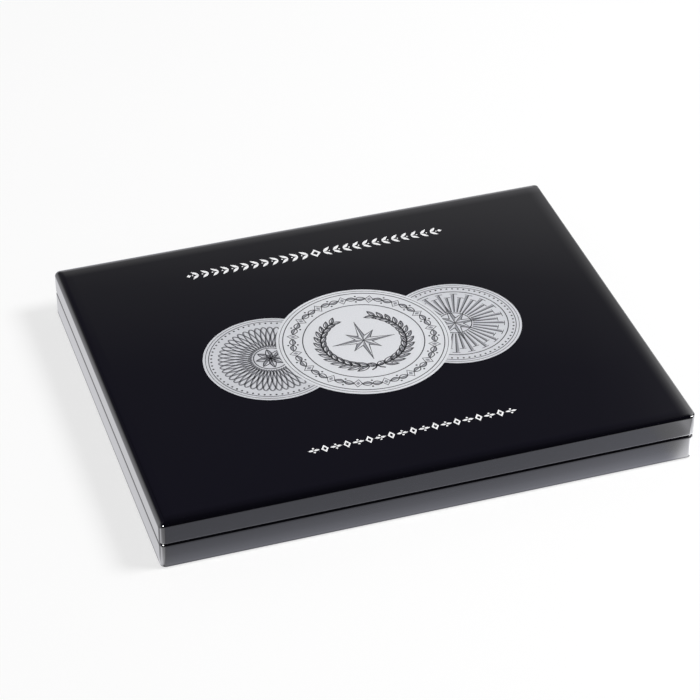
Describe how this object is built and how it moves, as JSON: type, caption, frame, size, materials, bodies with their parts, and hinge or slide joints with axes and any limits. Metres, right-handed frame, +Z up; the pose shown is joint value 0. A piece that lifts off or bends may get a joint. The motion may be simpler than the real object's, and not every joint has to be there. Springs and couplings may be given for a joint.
{
  "type": "coin display case",
  "caption": "Flat black lacquered coin display case with a stop-hinged lid, a velour tray of round recesses and a satin-padded lid.",
  "frame": {"origin": "on the surface that the case stands on, under the middle of the shells, at the underside of the felt", "axes": "+X along the long side, -Y towards the front, which opens, and +Z up through the lid"},
  "size_m": [0.305, 0.248, 0.03],
  "materials": {
    "lacquer": "black piano lacquer on fibreboard, high gloss",
    "felt": "thin black felt",
    "velour": "black velour over board",
    "satin": "cream satin over foam",
    "card": "plain greyboard",
    "hinge": "polished brass",
    "hinge_pin": "bright steel",
    "magnet": "nickel plate"
  },
  "bodies": {
    "base": {"base_shell": "lacquer", "underside_felt": "felt", "tray_lining": "velour", "coin_tray": "velour", "base_magnet_left": "magnet", "base_magnet_right": "magnet", "hinge_base_leaf_left": "hinge", "hinge_base_leaf_right": "hinge", "hinge_pin_left": "hinge_pin", "hinge_pin_right": "hinge_pin", "base_hinge_screw_left_outer": "hinge", "base_hinge_screw_left_inner": "hinge", "base_hinge_screw_right_outer": "hinge", "base_hinge_screw_right_inner": "hinge"},
    "lid": {"lid_shell": "lacquer", "lid_pad_board": "card", "lid_satin_pad": "satin", "lid_magnet_left": "magnet", "lid_magnet_right": "magnet", "hinge_lid_leaf_left": "hinge", "hinge_lid_leaf_right": "hinge", "lid_hinge_screw_left_outer": "hinge", "lid_hinge_screw_left_inner": "hinge", "lid_hinge_screw_right_outer": "hinge", "lid_hinge_screw_right_inner": "hinge"}
  },
  "joints": [
    {"name": "lid_hinge", "type": "hinge", "parent": "base", "child": "lid", "pos_m": [0, 0.1233, 0.01625], "axis": [-1, 0, 0], "range_deg": [0, 100]}
  ]
}
